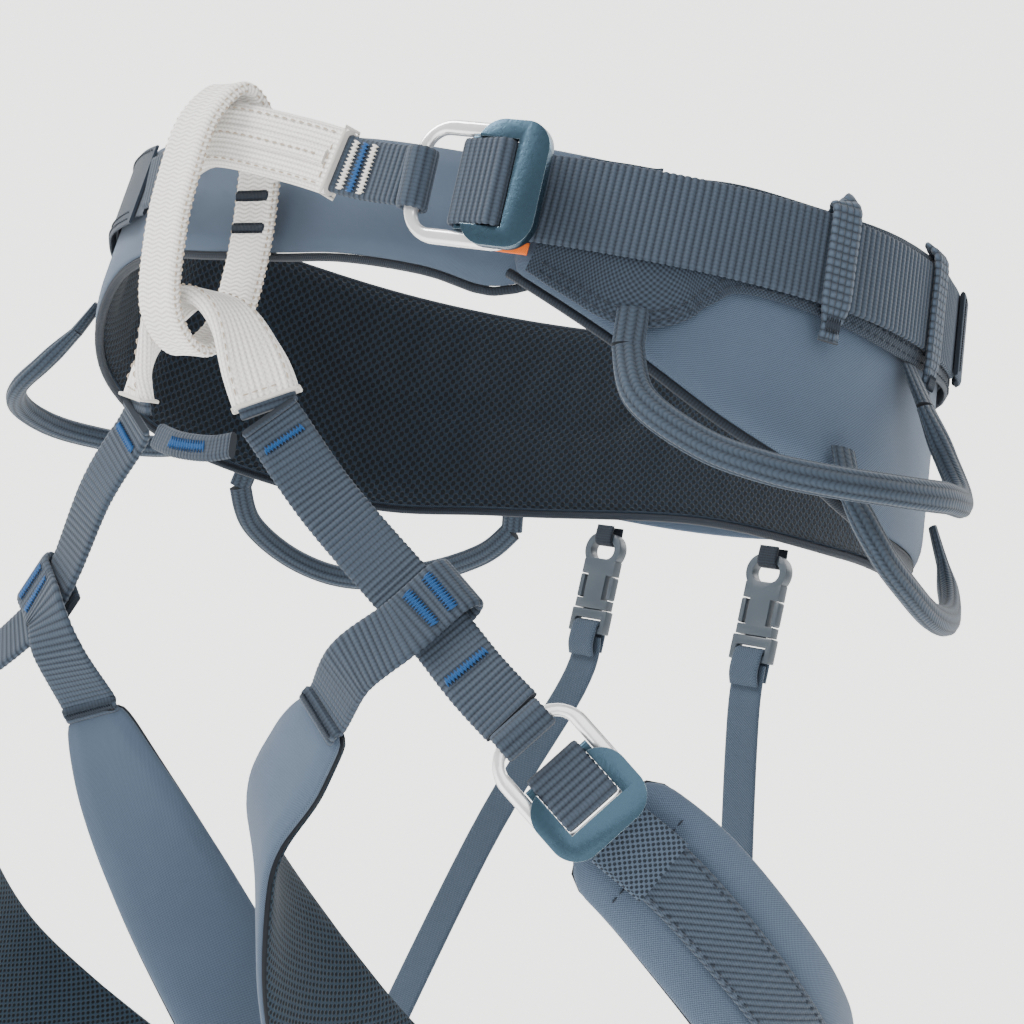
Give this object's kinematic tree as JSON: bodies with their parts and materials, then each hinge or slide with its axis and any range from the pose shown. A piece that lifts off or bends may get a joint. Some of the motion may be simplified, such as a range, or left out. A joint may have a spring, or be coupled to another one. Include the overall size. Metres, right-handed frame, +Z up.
{
  "type": "climbing harness",
  "caption": "Padded waist belt with belay loop, sleeved tie-in points, four gear loops and two adjustable padded leg loops held behind by elastics with clips.",
  "frame": {"origin": "centre of the waist opening, at the middle of the waist webbing's height", "axes": "+Z up, -Y the wearer's front, +X the wearer's left"},
  "size_m": [0.3959, 0.2725, 0.3884],
  "materials": {
    "shell_fabric": "plain-woven slate polyester",
    "mesh": "dark spacer mesh",
    "webbing": "ribbed slate webbing",
    "white_webbing": "light grey woven sleeve and loop webbing",
    "gear_tube": "braided tubular webbing over a flexible core",
    "knit": "elastic knit",
    "elastic": "woven elastic",
    "ring_metal": "polished forged aluminium",
    "plate_metal": "dark blue-grey anodised aluminium",
    "clip_plastic": "satin acetal",
    "tag": "woven label"
  },
  "bodies": {
    "belt": {"belt_shell": "shell_fabric", "belt_liner": "mesh", "belt_binding": "mesh", "channel_band": "shell_fabric", "waist_webbing": "webbing", "rear_panel": "shell_fabric", "waist_strap_tail": "webbing", "front_keeper": "webbing", "side_keeper": "webbing", "right_keeper": "webbing", "size_tag": "tag", "waist_buckle_frame": "ring_metal", "waist_buckle_wrap": "webbing", "tie_in_bar_loop": "webbing", "upper_tie_in_webbing": "webbing", "upper_tie_in_sleeve": "white_webbing", "lower_tie_in_webbing": "webbing", "lower_tie_in_sleeve": "white_webbing", "crossbar_strap": "webbing", "left_elastic": "elastic", "left_clip_tab": "elastic", "left_clip_socket": "clip_plastic", "left_clip_plug": "clip_plastic", "right_elastic": "elastic", "right_clip_tab": "elastic", "right_clip_socket": "clip_plastic", "right_clip_plug": "clip_plastic"},
    "waist_buckle_plate": {"waist_buckle_plate": "plate_metal"},
    "belay_loop": {"belay_loop": "white_webbing"},
    "left_front_gear_loop": {"left_front_gear_loop": "gear_tube"},
    "right_front_gear_loop": {"right_front_gear_loop": "gear_tube"},
    "left_rear_gear_loop": {"left_rear_gear_loop": "gear_tube"},
    "right_rear_gear_loop": {"right_rear_gear_loop": "gear_tube"},
    "haul_loop": {"haul_loop": "gear_tube"},
    "left_leg": {"left_riser": "webbing", "left_leg_front_band": "webbing", "left_leg_shell": "shell_fabric", "left_leg_liner": "mesh", "left_leg_strap": "webbing", "left_leg_knit_cover": "knit", "left_leg_rear_cover": "shell_fabric", "left_leg_buckle_frame": "ring_metal", "left_leg_buckle_wrap": "webbing"},
    "left_leg_buckle_plate": {"left_leg_buckle_plate": "plate_metal"},
    "left_clip_inner_latch": {"left_clip_inner_latch": "clip_plastic"},
    "left_clip_outer_latch": {"left_clip_outer_latch": "clip_plastic"},
    "right_leg": {"right_riser": "webbing", "right_leg_front_band": "webbing", "right_leg_shell": "shell_fabric", "right_leg_liner": "mesh", "right_leg_strap": "webbing", "right_leg_knit_cover": "knit", "right_leg_rear_cover": "shell_fabric", "right_leg_buckle_frame": "ring_metal", "right_leg_buckle_wrap": "webbing"},
    "right_leg_buckle_plate": {"right_leg_buckle_plate": "plate_metal"},
    "right_clip_inner_latch": {"right_clip_inner_latch": "clip_plastic"},
    "right_clip_outer_latch": {"right_clip_outer_latch": "clip_plastic"}
  },
  "joints": [
    {"name": "left_leg_swing", "type": "hinge", "parent": "belt", "child": "left_leg", "pos_m": [0.0286, -0.0912, -0.0725], "axis": [1, 0, 0], "range_deg": [-8, 12], "stiffness_Nm_per_rad": 8, "deforming": ["left_elastic"]},
    {"name": "right_leg_swing", "type": "hinge", "parent": "belt", "child": "right_leg", "pos_m": [-0.033, -0.0975, -0.0775], "axis": [1, 0, 0], "range_deg": [-8, 12], "stiffness_Nm_per_rad": 8, "deforming": ["right_elastic"]},
    {"name": "belay_loop_twist", "type": "hinge", "parent": "belt", "child": "belay_loop", "pos_m": [-0.008, -0.1045, -0.013], "axis": [0, 0, 1], "range_deg": [-6, 6]},
    {"name": "left_front_gear_lift", "type": "hinge", "parent": "belt", "child": "left_front_gear_loop", "pos_m": [0.15167, -0.02439, -0.0335], "axis": [-0.4095, -0.9091, -0.0766], "range_deg": [0, 35]},
    {"name": "right_front_gear_lift", "type": "hinge", "parent": "belt", "child": "right_front_gear_loop", "pos_m": [-0.15655, -0.00989, -0.0335], "axis": [-0.1921, 0.9782, 0.0786], "range_deg": [0, 35]},
    {"name": "left_rear_gear_lift", "type": "hinge", "parent": "belt", "child": "left_rear_gear_loop", "pos_m": [0.16026, 0.03099, -0.063], "axis": [0.2634, -0.9623, 0.0681], "range_deg": [0, 50]},
    {"name": "right_rear_gear_lift", "type": "hinge", "parent": "belt", "child": "right_rear_gear_loop", "pos_m": [-0.12609, 0.08533, -0.07], "axis": [0.7107, 0.7013, 0.0546], "range_deg": [0, 45]},
    {"name": "haul_lift", "type": "hinge", "parent": "belt", "child": "haul_loop", "pos_m": [0, 0.13412, 0.002], "axis": [1, 0, 0], "range_deg": [0, 50]},
    {"name": "waist_buckle_tilt", "type": "hinge", "parent": "belt", "child": "waist_buckle_plate", "pos_m": [0.0857, -0.09148, 0], "axis": [0, 0, -1], "range_deg": [0, 15]},
    {"name": "left_leg_buckle_tilt", "type": "hinge", "parent": "left_leg", "child": "left_leg_buckle_plate", "pos_m": [0.12727, -0.05138, -0.14912], "axis": [-0.4156, -0.4156, -0.809], "range_deg": [0, 15]},
    {"name": "right_leg_buckle_tilt", "type": "hinge", "parent": "right_leg", "child": "right_leg_buckle_plate", "pos_m": [-0.11627, -0.08938, -0.18712], "axis": [-0.4156, 0.4156, 0.809], "range_deg": [0, 15]},
    {"name": "left_clip_outer_squeeze", "type": "slide", "parent": "belt", "child": "left_clip_outer_latch", "axis": [-1, 0, 0], "range_m": [0, 0.0014], "stiffness_N_per_m": 400},
    {"name": "left_clip_inner_squeeze", "type": "slide", "parent": "belt", "child": "left_clip_inner_latch", "axis": [1, 0, 0], "range_m": [0, 0.0014], "stiffness_N_per_m": 400},
    {"name": "right_clip_outer_squeeze", "type": "slide", "parent": "belt", "child": "right_clip_outer_latch", "axis": [1, 0, 0], "range_m": [0, 0.0014], "stiffness_N_per_m": 400},
    {"name": "right_clip_inner_squeeze", "type": "slide", "parent": "belt", "child": "right_clip_inner_latch", "axis": [-1, 0, 0], "range_m": [0, 0.0014], "stiffness_N_per_m": 400}
  ],
  "couplings": [
    {"joint": "left_clip_inner_squeeze", "follows": "left_clip_outer_squeeze", "ratio": 1},
    {"joint": "right_clip_inner_squeeze", "follows": "right_clip_outer_squeeze", "ratio": 1}
  ]
}
